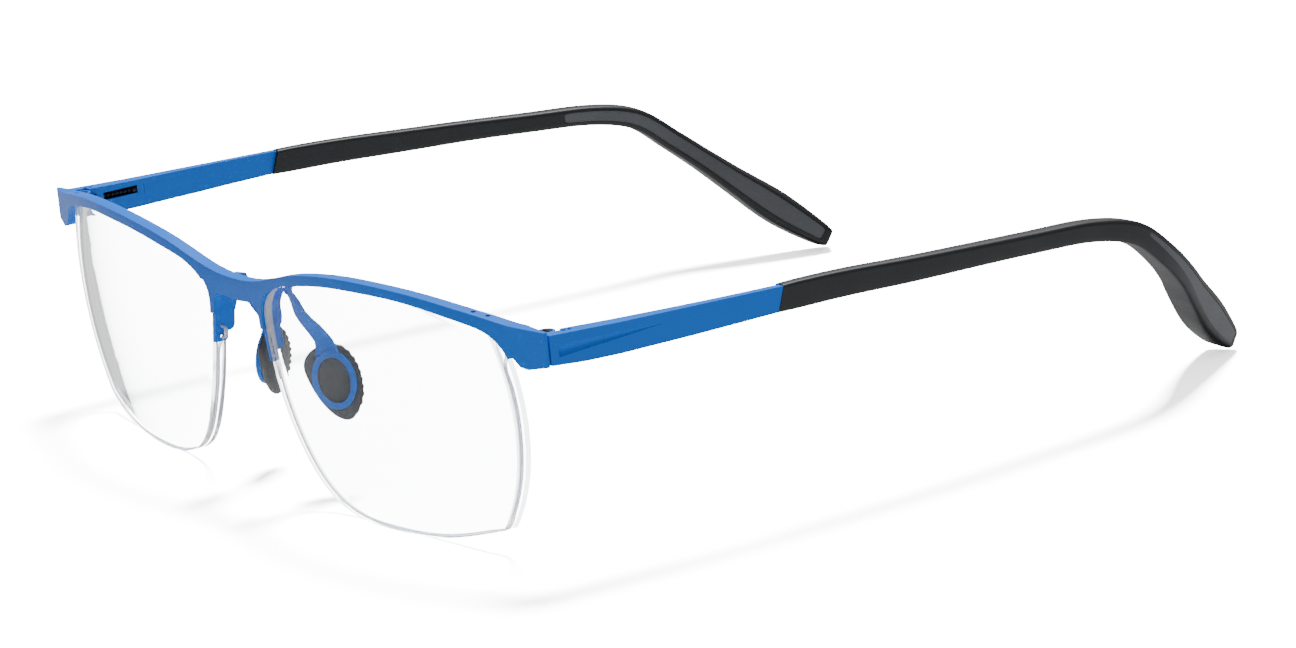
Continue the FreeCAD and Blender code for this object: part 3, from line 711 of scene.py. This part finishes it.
def select_inlay(sleeve, places, first, start):
    """Opens the sleeve with the faces of one inlay selected, from row first and ring start."""
    open_mesh(sleeve)
    bpy.ops.mesh.select_mode(type="FACE")
    mesh = bmesh.from_edit_mesh(sleeve.data)
    for face in mesh.faces:
        cells = [places.get(tuple(round(v, 6) for v in vertex.co)) for vertex in face.verts]
        face.select = len(face.verts) == 4 and all(
            cell is not None and start <= cell[0] <= INLAY_TO and first <= cell[1] <= first + 3
            for cell in cells)
    mesh.select_flush_mode()
    bmesh.update_edit_mesh(sleeve.data)


def build_sleeve():
    """The left sleeve, with its two inlays lifted out of its broad faces."""
    rings = sleeve_sections()
    sleeve = sweep("rubber_sleeve_left", rings)
    places = {}
    for row, ring in enumerate(rings):
        for column, point in enumerate(ring):
            places[tuple(round(v, 6) for v in point)] = (row - FRONT_RINGS, column)
    inlays = []
    for face_name, first, start in (("outer", 1, OUTER_FROM), ("inner", 13, INNER_FROM)):
        select_inlay(sleeve, places, first, start)
        bpy.ops.mesh.duplicate()
        bpy.ops.mesh.separate(type="SELECTED")
        close_mesh()
        inlay = [item for item in bpy.context.selected_objects if item != sleeve][0]
        inlay.name = inlay.data.name = "tip_inlay_%s_soft_left" % face_name
        inlays.append(inlay)
        select_inlay(sleeve, places, first, start)
        bpy.ops.mesh.inset(thickness=RECESS_LIP, depth=0.0, use_boundary=True)
        bpy.ops.mesh.inset(thickness=RECESS_LIP, depth=-RECESS_DEEP, use_boundary=True)
        close_mesh()
    apply_modifier(sleeve, "SUBSURF", levels=2, render_levels=2)
    smooth(sleeve, 50)
    for inlay in inlays:
        open_mesh(inlay)
        bpy.ops.mesh.select_all(action="SELECT")
        bpy.ops.transform.shrink_fatten(value=-INLAY_SUNK)
        close_mesh()
        apply_modifier(inlay, "SOLIDIFY", thickness=INLAY_THICK, offset=-1.0)
        apply_modifier(inlay, "BEVEL", width=0.00008, segments=2, limit_method="ANGLE",
                       angle_limit=math.radians(50))
        apply_modifier(inlay, "SUBSURF", levels=1, render_levels=1)
        smooth(inlay, 50)
    return sleeve, inlays


# ---------------------------------------------------------------- nose pads and their arms
PAD_CENTRE = Vector((9.4, 8.75, 15.3))
PAD_DOWN = Vector((0.233, 0.068, -0.970)).normalized()
PAD_BACK = Vector((0.45, 0.89, 0.17)).normalized()
PAD_OUT = PAD_DOWN.cross(PAD_BACK).normalized()
PAD_OUTLINE = [
    (0.4, -5.0), (2.6, -3.9), (3.7, -1.3), (3.7, 1.6), (2.9, 4.2), (1.0, 5.9), (-0.7, 5.3), (-2.2, 3.0),
    (-3.1, 0.0), (-3.3, -2.8), (-2.0, -4.5),
]
PAD_MIDDLE = 0.4     # how far down the pad its crown is centred
PAD_CROWN = 14.0
PAD_THICK = 1.9
RIB_PITCH = 1.05


def pad_point(back, down, out):
    return (PAD_CENTRE + PAD_BACK * back + PAD_DOWN * down + PAD_OUT * out) * MM + FORWARD


def pad_rim():
    """The pad's outline, scalloped by its ribs along the back edge."""
    smooth_line = around([Vector((back, down, 0)) for back, down in PAD_OUTLINE], 240)
    found = []
    for point in smooth_line:
        towards_back = max(0.0, min(1.0, (point.x - 1.2) / 1.2))
        rib = towards_back * (0.5 - 0.5 * math.cos(2 * math.pi * point.y / RIB_PITCH))
        found.append((point, rib))
    return found


def pad_ring(share, out, groove):
    """A ring of the pad's skin; groove is how deep the ribs bite there."""
    points = []
    for point, rib in pad_rim():
        inward = share * (1 - 0.032 * groove * rib)
        back, down = point.x * inward, PAD_MIDDLE + (point.y - PAD_MIDDLE) * inward
        points.append(pad_point(back, down, out(back, down) + 0.24 * groove * rib * (out is crown)))
    return points


def crown(back, down):
    """The nose side of the pad, gently domed."""
    return PAD_CROWN - PAD_THICK - math.sqrt(PAD_CROWN ** 2 - back ** 2 - (down - PAD_MIDDLE) ** 2)


def build_pad():
    flat = [(0.05, 0.0), (0.3, 0.0), (0.6, 0.0), (0.85, 0.0)]
    rings = [pad_ring(share, lambda b, d, out=out: out - 0.02, 0.0) for share, out in flat]
    rings.append(pad_ring(0.95, lambda b, d: -0.05, 0.3))
    rings.append(pad_ring(0.99, lambda b, d: -0.2, 0.8))
    rings.append(pad_ring(1.0, lambda b, d: crown(b, d) * 0.5, 1.0))
    rings.append(pad_ring(0.985, lambda b, d: crown(b, d) * 0.8, 1.0))
    for share, groove in ((0.95, 1.0), (0.9, 1.0), (0.84, 1.0), (0.76, 0.7), (0.66, 0.2), (0.5, 0.0),
                          (0.33, 0.0), (0.18, 0.0), (0.05, 0.0)):
        rings.append(pad_ring(share, crown, groove))
    pad = sweep("nose_pad_ribbed_left", rings)
    smooth(pad, 55)
    return pad


dress(crafted("front_frame", "brow_frame", 0.22, shape=round_bar), "front", "blue_paint", "front_frame")
lens = build_lens()
cord = thread("nylon_line_left", cord_route(), CORD_RADIUS)
sleeve, inlays = build_sleeve()
pad = build_pad()
for side, sign in SIDES:
    left = sign > 0

    def own(piece):
        return piece if left else mirror_copy(piece, piece.name.replace("left", side))

    clear = dress(own(lens), "front", "lens_clear", "lens_" + side)
    clear.visible_shadow = False   # a clear lens lets the light past
    dress(own(cord), "front", "nylon", "nylon_cord_" + side)
    dress(own(pad), "front", "pad_silicone", "nose_pad_" + side)
    dress(crafted("pad_arm_" + side, "pad_arm_formed_" + side, 0), "front", "blue_paint", "pad_arm_" + side)
    dress(crafted("rim_liner_" + side, "rim_liner_strip_" + side, 0), "front", "nylon", "rim_liner_" + side)
    dress(crafted("hinge_front_" + side, "hinge_leaf_" + side, 0.08), "front", "blue_paint",
          "hinge_front_" + side)
    # the hinge screw, slider and spring take the near-black steel, painted shade for the hinge slot
    dress(crafted("hinge_screw_" + side, "hinge_screw_turned_" + side, 0.05, "dark_steel"), "front", "steel",
          "hinge_screw_" + side)
    dress(crafted("hinge_slider_" + side, "hinge_slider_block_" + side, 0.06, "dark_steel"),
          "slider_" + side, "steel", "hinge_slider_" + side)
    temple = "temple_" + side
    dress(crafted("temple_arm_" + side, "temple_blade_" + side, 0.2), temple, "blue_paint",
          "temple_arm_" + side)
    dress(own(sleeve), temple, "black_rubber", "temple_sleeve_" + side)
    for inlay, face_name in zip(inlays, ("outer", "inner")):
        dress(own(inlay), temple, "grey_rubber", "tip_inlay_%s_%s" % (face_name, side))
    coil = dress(crafted("hinge_spring_" + side, "hinge_spring_coil_" + side, 0, "dark_steel"),
                 "slider_" + side, "steel", "hinge_spring_" + side)
    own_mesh(coil)
    core = nodes["temple_core_" + side]
    core.data.materials.clear()
    core.data.materials.append(MATERIALS["steel"])
